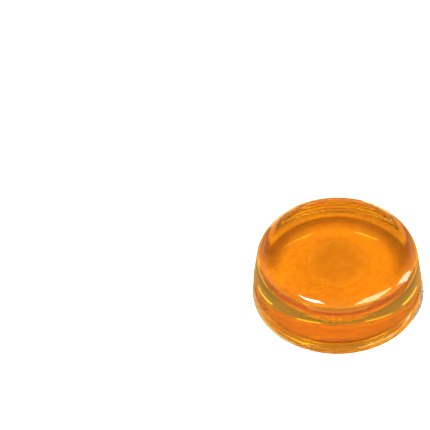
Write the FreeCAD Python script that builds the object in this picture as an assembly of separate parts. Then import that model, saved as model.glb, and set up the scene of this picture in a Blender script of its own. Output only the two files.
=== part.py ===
"""A round cake of bow rosin: a clear cast block held on a thin disc of woven cloth by a spot of glue.

Millimetres, +Z up. The origin lies on the block's axis, level with the cloth's underside, where the
cake rests.
"""
import FreeCAD, Part
import math
import os

os.makedirs("parts", exist_ok=True)

# Driving dimensions
CAKE_DIAMETER = 47.4       # across the thin skirt of rosin around the foot
BODY_DIAMETER = 46.9       # the body's widest, just above its rounded foot
CAKE_HEIGHT = 17.3         # underside of the cloth to the crown of the top
WALL_DRAFT = 7.3           # degrees the wall leans in, so that the cake leaves its mould
SHOULDER_RADIUS = 4.3      # rounding between wall and top
FOOT_RADIUS = 4.4          # rounding between wall and skirt
TOP_CROWN = 0.3            # rise of the top from its edge to its centre
SKIRT_WIDTH = 1.95         # how far the skirt reaches in under the rounded foot
SKIRT_EDGE = 0.15          # height of the skirt's outer edge
SKIRT_HOLLOW = 0.12        # how far the skirt's slope sags below a straight line
CLOTH_DIAMETER = 46.0
CLOTH_THICKNESS = 0.4
CLOTH_OFFSET = 0.4         # the cloth is stuck on slightly off centre, towards +X
GLUE_DIAMETER = 17.0
GLUE_THICKNESS = 0.1
GLUE_OFFSET = 3.0          # the spot of glue lies off centre too, towards +Y

# Levels and radii worked out from them
glue_bottom = CLOTH_THICKNESS
rosin_bottom = CLOTH_THICKNESS + GLUE_THICKNESS
top_edge_level = CAKE_HEIGHT - TOP_CROWN
skirt_radius = CAKE_DIAMETER / 2
body_radius = BODY_DIAMETER / 2
draft = math.radians(WALL_DRAFT)


def disc(diameter, thickness, centre):
    """A flat round sheet, placed by the centre of its lower face."""
    return Part.makeCylinder(diameter / 2, thickness, centre)


def profile_point(radius, level):
    """A point of the half section that is turned about the axis."""
    return FreeCAD.Vector(radius, 0, level)


def foot_point(turn):
    """A point of the rounded foot; turn is 0 at the widest radius and negative below it."""
    return profile_point(
        body_radius - FOOT_RADIUS + FOOT_RADIUS * math.cos(turn),
        rosin_bottom + FOOT_RADIUS + FOOT_RADIUS * math.sin(turn),
    )


def circle_edges(solid, radius, level):
    """The solid's round edges of this radius at this level."""
    found = []
    for edge in solid.Edges:
        box = edge.BoundBox
        same_radius = abs(box.XLength / 2 - radius) < 1e-3
        same_level = abs(box.ZMin - level) < 1e-3 and abs(box.ZMax - level) < 1e-3
        if same_radius and same_level:
            found.append(edge)
    return found


def rosin_block():
    """The casting: a skirt run out over the cloth, a rounded foot, a drafted wall and a crowned top."""
    skirt_bottom = profile_point(skirt_radius, rosin_bottom)
    skirt_top = profile_point(skirt_radius, rosin_bottom + SKIRT_EDGE)

    # The skirt slopes up and in until it meets the rounded foot.
    reach = skirt_radius - SKIRT_WIDTH - (body_radius - FOOT_RADIUS)
    meeting_turn = -math.acos(reach / FOOT_RADIUS)
    meeting = foot_point(meeting_turn)
    skirt_middle = (skirt_top + meeting) * 0.5 - FreeCAD.Vector(0, 0, SKIRT_HOLLOW)

    # The foot runs smoothly into the wall, which leans in by the draft.
    foot_middle = foot_point((meeting_turn + draft) / 2)
    wall_bottom = foot_point(draft)
    top_corner = wall_bottom.x - (top_edge_level - wall_bottom.z) * math.tan(draft)
    rim = profile_point(top_corner, top_edge_level)

    # The crown is a shallow arc, so its height at half the radius is close to three quarters.
    half_way = profile_point(top_corner / 2, top_edge_level + 0.75 * TOP_CROWN)
    crown = profile_point(0, CAKE_HEIGHT)
    base_centre = profile_point(0, rosin_bottom)

    outline = Part.Wire([
        Part.LineSegment(base_centre, skirt_bottom).toShape(),
        Part.LineSegment(skirt_bottom, skirt_top).toShape(),
        Part.Arc(skirt_top, skirt_middle, meeting).toShape(),
        Part.Arc(meeting, foot_middle, wall_bottom).toShape(),
        Part.LineSegment(wall_bottom, rim).toShape(),
        Part.Arc(rim, half_way, crown).toShape(),
        Part.LineSegment(crown, base_centre).toShape(),
    ])
    casting = Part.Face(outline).revolve(FreeCAD.Vector(0, 0, 0), FreeCAD.Vector(0, 0, 1), 360)
    return casting.makeFillet(SHOULDER_RADIUS, circle_edges(casting, top_corner, top_edge_level))


def adhesive_film():
    """The spot of glue between the cloth and the rosin; around it they are a hair's breadth apart."""
    return disc(GLUE_DIAMETER, GLUE_THICKNESS, FreeCAD.Vector(0, GLUE_OFFSET, glue_bottom))


def backing_cloth():
    """The woven disc that the cake rests on."""
    return disc(CLOTH_DIAMETER, CLOTH_THICKNESS, FreeCAD.Vector(CLOTH_OFFSET, 0, 0))


pieces = {
    "rosin_block": rosin_block(),
    "adhesive_film": adhesive_film(),
    "backing_cloth": backing_cloth(),
}
for name, shape in pieces.items():
    shape.exportStep(f"parts/{name}.step")
    box = shape.optimalBoundingBox()
    print(f"{name}: {len(shape.Solids)} solid, valid {shape.isValid()}, "
          f"{shape.Volume / 1000:.3f} cm3, z {box.ZMin:.2f} to {box.ZMax:.2f}, "
          f"diameter {box.XLength:.2f}")
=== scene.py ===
"""The looks of a round cake of clear amber rosin on a woven backing."""
import math
import random

import bpy
from mathutils import Matrix, Vector, noise


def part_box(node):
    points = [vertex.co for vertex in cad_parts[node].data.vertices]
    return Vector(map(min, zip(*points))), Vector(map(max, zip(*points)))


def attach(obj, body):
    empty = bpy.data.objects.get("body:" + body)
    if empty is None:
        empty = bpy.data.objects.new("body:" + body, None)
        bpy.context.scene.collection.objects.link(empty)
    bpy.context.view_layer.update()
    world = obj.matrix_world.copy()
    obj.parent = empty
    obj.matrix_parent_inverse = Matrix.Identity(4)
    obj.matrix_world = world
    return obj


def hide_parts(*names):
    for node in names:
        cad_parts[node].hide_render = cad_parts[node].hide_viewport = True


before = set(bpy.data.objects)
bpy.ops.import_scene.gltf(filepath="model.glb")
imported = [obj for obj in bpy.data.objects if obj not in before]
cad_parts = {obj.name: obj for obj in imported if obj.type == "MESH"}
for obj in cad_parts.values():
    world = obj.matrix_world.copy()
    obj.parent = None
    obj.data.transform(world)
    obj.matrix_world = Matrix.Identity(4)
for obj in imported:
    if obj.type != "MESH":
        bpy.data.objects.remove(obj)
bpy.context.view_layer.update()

MM = 0.001

# The cake's form
WALL_DRAFT = math.radians(7.3)
SHOULDER_RADIUS = 4.3 * MM
FOOT_RADIUS = 4.4 * MM
TOP_CROWN = 0.3 * MM
CROWN_SPAN = 0.8                # the flat part of the top, roughly, as a share of the radius
BODY_INSET = 0.25 * MM          # the body's widest radius lies this far inside the skirt's edge
SKIRT_EDGE = 0.15 * MM          # height of the skirt's edge
SKIRT_BEVEL = (0.1 * MM, 0.05 * MM)
SKIRT_WIDTH = 1.95 * MM         # how far the skirt reaches in under the rounded foot
SKIRT_LEVEL = 0.9 * MM          # what lies lower than this above the base counts as skirt
SKIRT_HOLLOW = 0.12 * MM        # how far the slope sags below a straight line
SKIRT_STEPS = 16
VALLEY_TURN = 0.45              # radians of the foot that the rounding between skirt and foot takes up
VALLEY_REACH = 7                # steps of the skirt that it takes up
VALLEY_STEPS = 14
BARE_DEPTH = 0.7 * MM           # on the +X side the skirt stops short and leaves the threads bare
BARE_SPREAD = math.radians(28.0)
LATHE_SEGMENTS = 512
BASE_RINGS = (0.25, 0.5, 0.75, 0.9, 0.98)
FOOT_STEPS = 26
WALL_STEPS = 18
SHOULDER_STEPS = 32
CROWN_STEPS = 26

# How far the cast surface wanders: (length of a wave, height of it)
BROAD_WAVE = (9 * MM, 0.05 * MM)
FINE_WAVE = (2.6 * MM, 0.008 * MM)
FINE_WAVE_SHIFT = Vector((7, 3, 1))
WAVE_INSET = 0.03 * MM          # keeps the waves inside the true shape
WAVE_START = 0.5 * MM           # how far above the base the waves begin
WAVE_FADE = 2 * MM              # the height over which they grow to full size

rosin_low, rosin_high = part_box("rosin_block")
film_low, film_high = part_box("adhesive_film")
cloth_low, cloth_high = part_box("backing_cloth")
cake_radius = (rosin_high.x - rosin_low.x) / 2
body_radius = cake_radius - BODY_INSET
cake_base = rosin_low.z
cake_top = rosin_high.z
film_radius = (film_high.x - film_low.x) / 2
film_centre = (film_low + film_high) / 2
cloth_radius = (cloth_high.x - cloth_low.x) / 2
cloth_centre = (cloth_low + cloth_high) / 2

# The rosin's optics
REFRACTIVE_INDEX = 1.53
AMBER_TINT = (0.989, 0.964, 0.75, 1)    # what the rosin lets through
AMBER_DENSITY = 300.0
BASE_ROUGHNESS = 0.05                   # the underside is matt, the rest is polished
MATT_HEIGHT = 0.06 * MM
POLISH_ROUGHNESS = 0.02

# Scales of the fine texture, in noise cells to a metre
SMEAR_SCALE = 180.0
POLISH_SCALE = 420.0
GLUE_SCALE = 300.0
FIBRE_SCALE = 900.0
FUZZ_SCALE = 4000.0

# The cloth and the glue on it
THREAD_PITCH = 0.78 * MM
THREAD_RADIUS = 0.19 * MM
THREAD_TAPER = 0.25                     # share of the radius lost at a cut end
THREAD_BEND = 0.15
THREAD_HALF_WIDTH = 0.46                # in thread pitches
THREAD_RISE = 0.5                       # how far a thread rises and dips in the weave's -1 to 1
HOLE_LEVEL = -0.75                      # height of the weave between the threads
CLOTH_SIDE = 0.245                      # half of one side's height, as a share of the thickness
THREAD_SEED = 11
WEAVE_ANGLE = math.radians(44.0)
SAMPLES_PER_THREAD = 4
WOVEN_MARGIN = 0.15 * MM                # the weave stops short of the cloth's edge, the ends go on
END_OVERLAP = 0.4 * MM                  # how far each end reaches back under the weave
END_LENGTH = 0.1 * MM
FRAYED_LENGTH = 0.85 * MM
FRAYED_TOWARDS = math.radians(8.0)
FRAYED_FULLNESS = 1.3                   # above 1, so that a whole stretch frays to the full length
SHORTEST_END = 0.85                     # share of the frayed length
ENDS_SPREAD = 0.97                      # threads further out than this would run along the rim
GLUE_WANDER = 0.05                      # how far the spot's outline wanders, as a share of its radius
GLUE_RELIEF = 0.07 * MM
GLUE_THINNING = 2.6                     # how much the glue sinks at its edge, in reliefs
GLUE_FULL = 0.6                         # share of the spot's radius that is not thinned
GLUE_SEGMENTS = 360
GLUE_RINGS = 72

# Colours: (place on the ramp, colour)
# The thread ends past the rosin are painted nearly black: painted shade
SHADED_END_STOPS = [(0.35, (0.035, 0.028, 0.017)), (0.7, (0.075, 0.060, 0.037))]
CLOTH_STOPS = [(0.35, (0.90, 0.33, 0.025)), (0.7, (1.0, 0.41, 0.04))]
FILM_STOPS = [(0.35, (0.79, 0.33, 0.05)), (0.65, (0.85, 0.37, 0.06))]
# Painted shade and painted light on the cloth: dimmed inside, darker in a band inside the rim,
# brighter than white at the rim where the body shades the cloth
RIM_LIGHT_AND_SHADE_STOPS = [                         # painted light and shade by distance from the axis, in radii of the cake
    (0.0, (0.86, 0.88, 0.88)),
    (0.64, (0.86, 0.88, 0.88)),
    (0.80, (0.46, 0.43, 0.6)),
    (0.855, (0.46, 0.43, 0.6)),
    (0.89, (1.0, 1.2, 1.4)),
]

# The room's light by height: (sine of the elevation, colour)
ROOM = [
    (-1.0, (0.90, 0.22, 0.04)),
    (-0.85, (0.90, 0.24, 0.05)),
    (-0.6, (0.80, 0.55, 0.20)),
    (-0.1, (1.0, 0.70, 0.24)),
    (0.15, (0.46, 0.30, 0.52)),
    (0.5, (0.44, 0.29, 0.52)),
    (0.68, (0.07, 0.07, 0.07)),
    (0.80, (0.07, 0.07, 0.07)),
    (0.95, (0.3, 0.3, 0.3)),
]

# Lamp panels: name, place, direction faced, size, radiance, colour
DOWN = (0, 0, -1)
WHITE = (1, 1, 1)
PALE_YELLOW = (1, 0.88, 0.55)
PEACH = (1, 0.92, 0.8)
YELLOW = (1, 0.86, 0.5)
GOLD = (1, 0.85, 0.4)
AMBER = (1, 0.6, 0.1)
PANELS = [
    ("strip", (-0.165, -0.03, 0.6), DOWN, (0.14, 0.18), 31.0, WHITE),
    ("panel", (0.30, -0.06, 0.6), DOWN, (0.31, 0.33), 13.0, PALE_YELLOW),
    ("side", (0.51, 0.13, 0.26), (-0.86, -0.22, -0.43), (0.15, 0.33), 12.0, PEACH),
    ("back_right", (0.48, 0.48, 0.18), (-0.68, -0.68, -0.26), (0.22, 0.09), 1.5, YELLOW),
    ("back_left", (-0.48, 0.48, 0.18), (0.68, -0.68, -0.26), (0.22, 0.09), 1.5, YELLOW),
    ("low_right", (0.18, 0.78, -0.10), (-0.18, -0.78, 0.10), (0.16, 0.26), 3.5, GOLD),
    ("low_left", (-0.27, 0.75, -0.10), (0.27, -0.75, 0.10), (0.20, 0.26), 3.0, GOLD),
    ("front", (0.0, -0.62, 0.65), (0.0, 0.62, -0.65), (1.3, 0.8), 2.3, AMBER),
]
HIDDEN_THROUGH_ROSIN = {"side"}         # this lamp is seen mirrored on the rosin, never through it

# The camera; the cake's place and size are shares of the frame's width
CAMERA_ELEVATION = math.radians(47.8)
CAMERA_DISTANCE = 30 * cake_radius
CAKE_WIDTH_IN_FRAME = 0.3964
FRAME_RIGHT = 0.2844                    # how far right of the frame's middle the cake lies
FRAME_DOWN = 0.1335                     # and how far below it
TARGET_HEIGHT = 0.3 * cake_radius + 0.5 * MM
SENSOR = 36.0


# ---------------------------------------------------------------- helpers

def mesh_object(name, points, faces, smooth=True):
    mesh = bpy.data.meshes.new(name)
    mesh.from_pydata([tuple(p) for p in points], [], faces)
    mesh.validate()
    mesh.update()
    if smooth:
        mesh.polygons.foreach_set("use_smooth", [True] * len(mesh.polygons))
    piece = bpy.data.objects.new(name, mesh)
    bpy.context.scene.collection.objects.link(piece)
    return piece


def arc_point(centre, radius, angle):
    return (centre[0] + radius * math.cos(angle), centre[1] + radius * math.sin(angle))


def between(start, end, share):
    return (start[0] + (end[0] - start[0]) * share, start[1] + (end[1] - start[1]) * share)


def arc(centre, radius, start, end, steps):
    """Points (r, z) along an arc, both ends included."""
    turn = (end - start) / steps
    return [arc_point(centre, radius, start + turn * i) for i in range(steps + 1)]


def lathe(name, outline, segments, displace):
    """Turns an outline from the axis out and back to the axis into a closed solid."""
    rings = outline[1:-1]
    points = [displace(Vector((0, 0, outline[0][1])))]
    for r, z in rings:
        for k in range(segments):
            turn = 2 * math.pi * k / segments
            points.append(displace(Vector((r * math.cos(turn), r * math.sin(turn), z))))
    points.append(displace(Vector((0, 0, outline[-1][1]))))
    last = len(points) - 1
    faces = []
    for k in range(segments):
        after = (k + 1) % segments
        faces.append((0, 1 + after, 1 + k))
        for ring in range(len(rings) - 1):
            low = 1 + ring * segments
            high = low + segments
            faces.append((low + k, low + after, high + after, high + k))
        top = 1 + (len(rings) - 1) * segments
        faces.append((top + k, top + after, last))
    return mesh_object(name, points, faces)


def new_material(name):
    material = bpy.data.materials.new(name)
    material.use_nodes = True
    tree = material.node_tree
    shader = tree.nodes["Principled BSDF"]
    return material, tree, shader


def object_coords(tree):
    return tree.nodes.new("ShaderNodeTexCoord").outputs["Object"]


def noise_node(tree, scale, detail):
    node = tree.nodes.new("ShaderNodeTexNoise")
    node.inputs["Scale"].default_value = scale
    node.inputs["Detail"].default_value = detail
    tree.links.new(object_coords(tree), node.inputs["Vector"])
    return node.outputs["Fac"]


def map_range(tree, source, start, end, low, high):
    """Maps start..end onto low..high."""
    node = tree.nodes.new("ShaderNodeMapRange")
    node.inputs["From Min"].default_value = start
    node.inputs["From Max"].default_value = end
    node.inputs["To Min"].default_value = low
    node.inputs["To Max"].default_value = high
    tree.links.new(source, node.inputs["Value"])
    return node.outputs["Result"]


def math_node(tree, operation, first, second):
    node = tree.nodes.new("ShaderNodeMath")
    node.operation = operation
    tree.links.new(first, node.inputs[0])
    tree.links.new(second, node.inputs[1])
    return node.outputs["Value"]


def ramp_node(tree, source, stops):
    """A colour ramp; stops is a list of (position, colour)."""
    node = tree.nodes.new("ShaderNodeValToRGB")
    elements = node.color_ramp.elements
    while len(elements) < len(stops):
        elements.new(0.5)
    for element, (position, colour) in zip(elements, stops):
        element.position = position
        element.color = (*colour, 1)
    tree.links.new(source, node.inputs["Fac"])
    return node.outputs["Color"]


def bump(tree, shader, height, strength, distance):
    node = tree.nodes.new("ShaderNodeBump")
    node.inputs["Strength"].default_value = strength
    node.inputs["Distance"].default_value = distance
    tree.links.new(height, node.inputs["Height"])
    tree.links.new(node.outputs["Normal"], shader.inputs["Normal"])


# ---------------------------------------------------------------- the rosin

def skirt_outline(meeting):
    """The thin skirt where the rosin has run out over the cloth, from its edge in to the foot."""
    points = [(cake_radius - SKIRT_BEVEL[0], cake_base), (cake_radius, cake_base + SKIRT_BEVEL[1])]
    edge = (cake_radius, cake_base + SKIRT_EDGE)
    for i in range(SKIRT_STEPS + 1):
        share = i / SKIRT_STEPS
        sag = SKIRT_HOLLOW * 4 * share * (1 - share)
        radius, level = between(edge, meeting, share)
        points.append((radius, level - sag))
    return points


def valley(start, corner, end):
    """The hollow rounding between skirt and foot, drawn towards the corner where they would meet."""
    points = []
    for i in range(1, VALLEY_STEPS + 1):
        share = i / VALLEY_STEPS
        weights = ((1 - share) ** 2, 2 * share * (1 - share), share * share)
        points.append(tuple(
            sum(weight * point[axis] for weight, point in zip(weights, (start, corner, end)))
            for axis in range(2)
        ))
    return points


def rosin_outline():
    """The block's half section, from the centre of its base out and up to the centre of its top."""
    foot_centre = (body_radius - FOOT_RADIUS, cake_base + FOOT_RADIUS)
    meeting_turn = -math.acos((cake_radius - SKIRT_WIDTH - foot_centre[0]) / FOOT_RADIUS)
    meeting = arc_point(foot_centre, FOOT_RADIUS, meeting_turn)
    skirt = skirt_outline(meeting)
    foot = arc(foot_centre, FOOT_RADIUS, meeting_turn + VALLEY_TURN, WALL_DRAFT, FOOT_STEPS)
    points = [(0.0, cake_base)]
    points += [(skirt[0][0] * share, cake_base) for share in BASE_RINGS]
    points += skirt[:-VALLEY_REACH]
    points += valley(skirt[-VALLEY_REACH - 1], meeting, foot[0])
    points += foot[1:]
    wall_foot = points[-1]
    edge_slope = 2 * TOP_CROWN / (CROWN_SPAN * cake_radius)
    shoulder_level = cake_top - TOP_CROWN - SHOULDER_RADIUS * math.cos(edge_slope)
    shoulder_centre = (
        wall_foot[0] - math.tan(WALL_DRAFT) * (shoulder_level - wall_foot[1])
        - SHOULDER_RADIUS / math.cos(WALL_DRAFT),
        shoulder_level,
    )
    shoulder_end = math.radians(90) - edge_slope
    shoulder = arc(shoulder_centre, SHOULDER_RADIUS, WALL_DRAFT, shoulder_end, SHOULDER_STEPS)
    points += [between(wall_foot, shoulder[0], i / WALL_STEPS) for i in range(1, WALL_STEPS)]
    points += shoulder
    top_radius = shoulder[-1][0]
    for i in range(1, CROWN_STEPS):
        share = 1 - i / CROWN_STEPS
        points.append((top_radius * share, cake_top - TOP_CROWN * share * share))
    points.append((0.0, cake_top))
    return points


def rosin_wave(point):
    """A cast surface is never quite true, and the skirt stops short where the threads are bare."""
    out = Vector((point.x, point.y, 0)).normalized()
    broad = noise.noise(point / BROAD_WAVE[0]) * BROAD_WAVE[1]
    fine = noise.noise(point / FINE_WAVE[0] + FINE_WAVE_SHIFT) * FINE_WAVE[1]
    height = max(0.0, min(1.0, (point.z - cake_base - WAVE_START) / WAVE_FADE))
    skirt = 0.0
    if point.z < cake_base + SKIRT_LEVEL:
        skirt = max(0.0, math.hypot(point.x, point.y) - cake_radius + SKIRT_WIDTH) / SKIRT_WIDTH
    bare = BARE_DEPTH * math.exp(-(math.atan2(point.y, point.x) / BARE_SPREAD) ** 4)
    return point + out * ((broad + fine - WAVE_INSET) * height - bare * skirt)


def amber_material():
    material, tree, shader = new_material("amber_rosin")
    shader.inputs["Base Color"].default_value = (1.0, 1.0, 1.0, 1)
    shader.inputs["Transmission Weight"].default_value = 1.0
    shader.inputs["IOR"].default_value = REFRACTIVE_INDEX
    smear = map_range(tree, noise_node(tree, SMEAR_SCALE, 4.0), 0.42, 0.75, 0.0, POLISH_ROUGHNESS)
    split = tree.nodes.new("ShaderNodeSeparateXYZ")
    tree.links.new(object_coords(tree), split.inputs["Vector"])
    matt_top = cake_base + MATT_HEIGHT
    matt = map_range(tree, split.outputs["Z"], cake_base, matt_top, BASE_ROUGHNESS, 0.0)
    tree.links.new(math_node(tree, "MAXIMUM", smear, matt), shader.inputs["Roughness"])
    bump(tree, shader, noise_node(tree, POLISH_SCALE, 2.0), strength=0.05, distance=0.02 * MM)
    absorb = tree.nodes.new("ShaderNodeVolumeAbsorption")
    absorb.inputs["Color"].default_value = AMBER_TINT
    absorb.inputs["Density"].default_value = AMBER_DENSITY
    tree.links.new(absorb.outputs["Volume"], tree.nodes["Material Output"].inputs["Volume"])
    return material


# ---------------------------------------------------------------- the cloth

def thread_height(along, across, over):
    """A thread's upper side as (section, rise), or None beside the thread; in thread pitches."""
    if abs(across) >= THREAD_HALF_WIDTH:
        return None
    section = math.sqrt(1 - (across / THREAD_HALF_WIDTH) ** 2)
    rise = THREAD_RISE * math.cos(math.pi * along) * (1 if over else -1)
    return section, rise


def weave_height(u, v):
    """Height of the woven surface from -1 to 1, where u and v are counted in thread pitches."""
    i, j = round(u), round(v)
    over = (i + j) % 2 == 0
    best = HOLE_LEVEL
    for across, along, up in ((u - i, v - j, over), (v - j, u - i, not over)):
        found = thread_height(along, across, up)
        if found is not None:
            section, rise = found
            best = max(best, rise - THREAD_RISE + section)
    return best


def weave_points(radius):
    """The grid squares of a woven disc, as lists of (column, row) corners."""
    step = THREAD_PITCH / SAMPLES_PER_THREAD
    reach = int(radius / step) + 2
    squares = []
    for a in range(-reach, reach):
        for b in range(-reach, reach):
            if math.hypot(a + 0.5, b + 0.5) * step <= radius:
                squares.append([(a, b), (a + 1, b), (a + 1, b + 1), (a, b + 1)])
    return squares


def weave_place(a, b, radius):
    """Where a grid corner lies about the cloth's centre, drawn in to the disc's edge."""
    flat = Vector((a, b, 0)) * (THREAD_PITCH / SAMPLES_PER_THREAD)
    if flat.length > radius:
        flat *= radius / flat.length
    return Matrix.Rotation(WEAVE_ANGLE, 3, "Z") @ flat


def cloth_sheet():
    """The woven disc: an upper and a lower side of the same weave, joined at the edge."""
    radius = cloth_radius - WOVEN_MARGIN
    middle = cloth_centre.z
    relief = CLOTH_SIDE * (cloth_high.z - cloth_low.z)
    index = {}
    points = []
    faces = []

    def corner(a, b, side):
        key = (a, b, side)
        if key not in index:
            shift = 0 if side > 0 else 1
            high = weave_height(a / SAMPLES_PER_THREAD + shift, b / SAMPLES_PER_THREAD)
            place = weave_place(a, b, radius) + cloth_centre
            place.z = middle + side * relief * (1 + high)
            index[key] = len(points)
            points.append(place)
        return index[key]

    edges = set()
    for square in weave_points(radius):
        faces.append([corner(a, b, 1) for a, b in square])
        faces.append([corner(a, b, -1) for a, b in reversed(square)])
        edges.update(zip(square, square[1:] + square[:1]))
    for start, end in sorted(edges):
        if (end, start) not in edges:
            faces.append([
                corner(*end, 1), corner(*start, 1), corner(*start, -1), corner(*end, -1),
            ])
    return mesh_object("backing_weave", points, faces)


def thread_ends():
    """The cut ends of the threads: frayed on the +X side, where the cloth shows past the rosin."""
    rng = random.Random(THREAD_SEED)
    radius = cloth_radius - WOVEN_MARGIN
    sides = 6
    rings = 4
    points = []
    faces = []
    count = int(ENDS_SPREAD * radius / THREAD_PITCH)
    for quarter in range(4):
        facing = WEAVE_ANGLE + quarter * math.pi / 2
        spin = Matrix.Rotation(facing, 3, "Z")
        for i in range(-count, count + 1):
            across = i * THREAD_PITCH
            start = math.sqrt(radius * radius - across * across) - END_OVERLAP
            azimuth = facing + math.asin(across / radius)
            frayed = min(1.0, FRAYED_FULLNESS * max(0.0, math.cos(azimuth - FRAYED_TOWARDS)) ** 4)
            reach = radius + END_LENGTH + FRAYED_LENGTH * frayed * rng.uniform(SHORTEST_END, 1.0)
            length = math.sqrt(reach * reach - across * across) - start
            bend = rng.uniform(-THREAD_BEND, THREAD_BEND)
            first = len(points)
            for ring in range(rings + 1):
                share = ring / rings
                thin = THREAD_RADIUS * (1 - THREAD_TAPER * share * share)
                for k in range(sides):
                    angle = 2 * math.pi * k / sides
                    place = Vector((
                        start + length * share,
                        across + bend * length * share * share + thin * math.cos(angle),
                        thin * math.sin(angle),
                    ))
                    points.append(spin @ place + cloth_centre)
            faces.append([first + k for k in reversed(range(sides))])
            for ring in range(rings):
                low = first + ring * sides
                for k in range(sides):
                    after = (k + 1) % sides
                    faces.append([low + k, low + after, low + sides + after, low + sides + k])
            faces.append([first + rings * sides + k for k in range(sides)])
    return mesh_object("thread_ends", points, faces)


def distance_from_axis(tree):
    """Distance from the cake's axis; the cloth is so thin that its height hardly counts."""
    node = tree.nodes.new("ShaderNodeVectorMath")
    node.operation = "LENGTH"
    tree.links.new(object_coords(tree), node.inputs[0])
    return node.outputs["Value"]


def mix_node(tree, blend, factor, first, second):
    """Mixes two colours; factor is a number or a node's output."""
    node = tree.nodes.new("ShaderNodeMix")
    node.data_type = "RGBA"
    node.blend_type = blend
    if isinstance(factor, float):
        node.inputs["Factor"].default_value = factor
    else:
        tree.links.new(factor, node.inputs["Factor"])
    tree.links.new(first, node.inputs[6])
    tree.links.new(second, node.inputs[7])
    return node.outputs[2]


def fuzz(tree, shader):
    bump(tree, shader, noise_node(tree, FUZZ_SCALE, 2.0), strength=0.5, distance=0.03 * MM)


def end_material():
    """Cotton soaked with rosin under the cake, painted nearly black with painted shade where it sticks
    out.
    """
    material, tree, shader = new_material("thread_ends")
    shader.inputs["Roughness"].default_value = 0.9
    fibre = noise_node(tree, FIBRE_SCALE, 4.0)
    soaked = ramp_node(tree, fibre, CLOTH_STOPS)
    # outside the cloth's rim the ends take the painted shade
    bare = ramp_node(tree, fibre, SHADED_END_STOPS)
    outside = map_range(tree, distance_from_axis(tree), cloth_radius, cloth_radius + 0.2 * MM, 0, 1)
    colour = mix_node(tree, "MIX", outside, soaked, bare)
    tree.links.new(colour, shader.inputs["Base Color"])
    fuzz(tree, shader)
    return material


def cloth_material():
    """Cotton stained by the rosin, with painted shade in a band inside the rim and painted light at
    the rim.
    """
    material, tree, shader = new_material("backing_weave")
    shader.inputs["Roughness"].default_value = 0.85
    fibre = ramp_node(tree, noise_node(tree, FIBRE_SCALE, 4.0), CLOTH_STOPS)
    outward = map_range(tree, distance_from_axis(tree), 0.0, cake_radius, 0.0, 1.0)
    # the radial ramp paints shade inside the rim and light at the rim over the cotton's own colour
    colour = mix_node(tree, "MULTIPLY", 1.0, fibre, ramp_node(tree, outward, RIM_LIGHT_AND_SHADE_STOPS))
    tree.links.new(colour, shader.inputs["Base Color"])
    fuzz(tree, shader)
    return material


def film_piece():
    """Glue in the weave: it wets the rosin over the threads' crowns and thins out towards its edge."""
    bottom = cloth_centre.z
    top = cake_base
    outline = [(0.0, bottom), (film_radius, bottom), (film_radius, top)]
    outline += [(film_radius * (1 - i / GLUE_RINGS), top) for i in range(1, GLUE_RINGS)]
    outline.append((0.0, top))
    unturn = Matrix.Rotation(-WEAVE_ANGLE, 3, "Z")
    middle = Vector((film_centre.x, film_centre.y, 0))

    def settle(point):
        place = point * (1 - GLUE_WANDER * abs(noise.noise(point.normalized() * 2)))
        place.z = point.z
        outward = math.hypot(place.x, place.y) / film_radius
        thinning = GLUE_THINNING * (max(0.0, outward - GLUE_FULL) / (1 - GLUE_FULL)) ** 2
        place += middle
        if point.z > (bottom + top) / 2:
            flat = unturn @ Vector((place.x, place.y, 0)) / THREAD_PITCH
            place.z += GLUE_RELIEF * ((1 + weave_height(flat.x, flat.y)) / 2 - thinning)
        return place

    return lathe("glue_film", outline, GLUE_SEGMENTS, settle)


def film_material():
    """Dried glue, stained by the rosin."""
    material, tree, shader = new_material("clear_glue")
    shader.inputs["Roughness"].default_value = 0.4
    tint = ramp_node(tree, noise_node(tree, GLUE_SCALE, 3.0), FILM_STOPS)
    tree.links.new(tint, shader.inputs["Base Color"])
    return material


# ---------------------------------------------------------------- camera, floor and light

def make_camera():
    """A long lens; the cake's place in the frame comes from where the camera is aimed."""
    data = bpy.data.cameras.new("camera")
    camera = bpy.data.objects.new("camera", data)
    bpy.context.scene.collection.objects.link(camera)
    bpy.context.scene.camera = camera
    target = Vector((0, 0, TARGET_HEIGHT))
    back = Vector((0, -math.cos(CAMERA_ELEVATION), math.sin(CAMERA_ELEVATION)))
    camera.location = target + back * CAMERA_DISTANCE
    frame_width = 2 * cake_radius / CAKE_WIDTH_IN_FRAME
    data.sensor_width = SENSOR
    data.lens = SENSOR * CAMERA_DISTANCE / frame_width
    data.clip_start, data.clip_end = 0.01, 20
    straight = (-back).to_track_quat("-Z", "Y")
    share = frame_width / CAMERA_DISTANCE
    wanted = Vector((FRAME_RIGHT * share, -FRAME_DOWN * share, -1)).normalized()
    aside = wanted.rotation_difference(Vector((0, 0, -1)))
    camera.rotation_mode = "QUATERNION"
    camera.rotation_quaternion = straight @ aside


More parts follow.
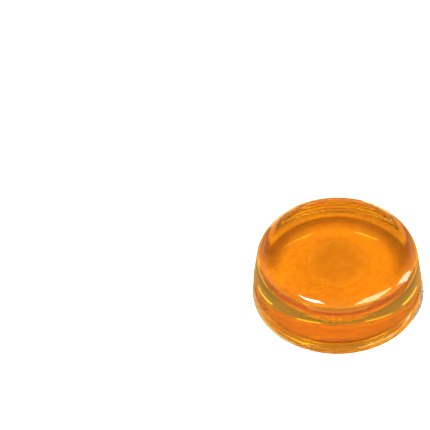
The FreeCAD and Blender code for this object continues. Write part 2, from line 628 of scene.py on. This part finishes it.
def floor_piece():
    """A white floor that the camera sees; the cake itself sees the room below the horizon."""
    half = 1.5
    level = -0.02 * MM
    points = [(-half, -half, level), (half, -half, level), (half, half, level), (-half, half, level)]
    floor = mesh_object("floor", points, [(0, 1, 2, 3)], smooth=False)
    material, tree, shader = new_material("pale_floor")
    shader.inputs["Base Color"].default_value = (0.9, 0.9, 0.9, 1)
    shader.inputs["Roughness"].default_value = 0.9
    shader.inputs["Emission Color"].default_value = (1, 1, 1, 1)
    shader.inputs["Emission Strength"].default_value = 0.85
    floor.data.materials.append(material)
    floor.visible_diffuse = False
    floor.visible_glossy = False
    floor.visible_transmission = False


def softbox(name, place, facing, size, radiance, colour):
    """A lamp panel at a place, facing along a direction."""
    data = bpy.data.lights.new(name, "AREA")
    data.shape = "RECTANGLE"
    data.size, data.size_y = size
    data.energy = radiance * math.pi * size[0] * size[1]
    data.color = colour
    lamp = bpy.data.objects.new(name, data)
    bpy.context.scene.collection.objects.link(lamp)
    lamp.location = place
    lamp.rotation_euler = Vector(facing).to_track_quat("-Z", "Y").to_euler()
    return lamp


def make_world(levels):
    """A room whose light depends on height: levels is a list of (sine of elevation, colour)."""
    world = bpy.data.worlds.new("studio")
    bpy.context.scene.world = world
    world.use_nodes = True
    tree = world.node_tree
    coords = tree.nodes.new("ShaderNodeTexCoord")
    split = tree.nodes.new("ShaderNodeSeparateXYZ")
    tree.links.new(coords.outputs["Generated"], split.inputs["Vector"])
    share = map_range(tree, split.outputs["Z"], -1, 1, 0, 1)
    colour = ramp_node(tree, share, [((height + 1) / 2, colour) for height, colour in levels])
    background = tree.nodes["Background"]
    tree.links.new(colour, background.inputs["Color"])
    background.inputs["Strength"].default_value = 1.0


make_camera()
floor_piece()
make_world(ROOM)
for panel in PANELS:
    lamp = softbox(*panel)
    lamp.visible_transmission = lamp.name not in HIDDEN_THROUGH_ROSIN

scene = bpy.context.scene
scene.view_settings.view_transform = "Standard"
scene.cycles.max_bounces = 20
scene.cycles.glossy_bounces = 12
scene.cycles.transmission_bounces = 16

# ---------------------------------------------------------------- the pieces

rosin = lathe("cast_rosin", rosin_outline(), LATHE_SEGMENTS, rosin_wave)
rosin.data.materials.append(amber_material())
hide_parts("rosin_block")

film = film_piece()
film.data.materials.append(film_material())
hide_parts("adhesive_film")

weave = cloth_sheet()
ends = thread_ends()
weave.data.materials.append(cloth_material())
ends.data.materials.append(end_material())
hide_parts("backing_cloth")

for piece in (rosin, film, weave, ends):
    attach(piece, "root")
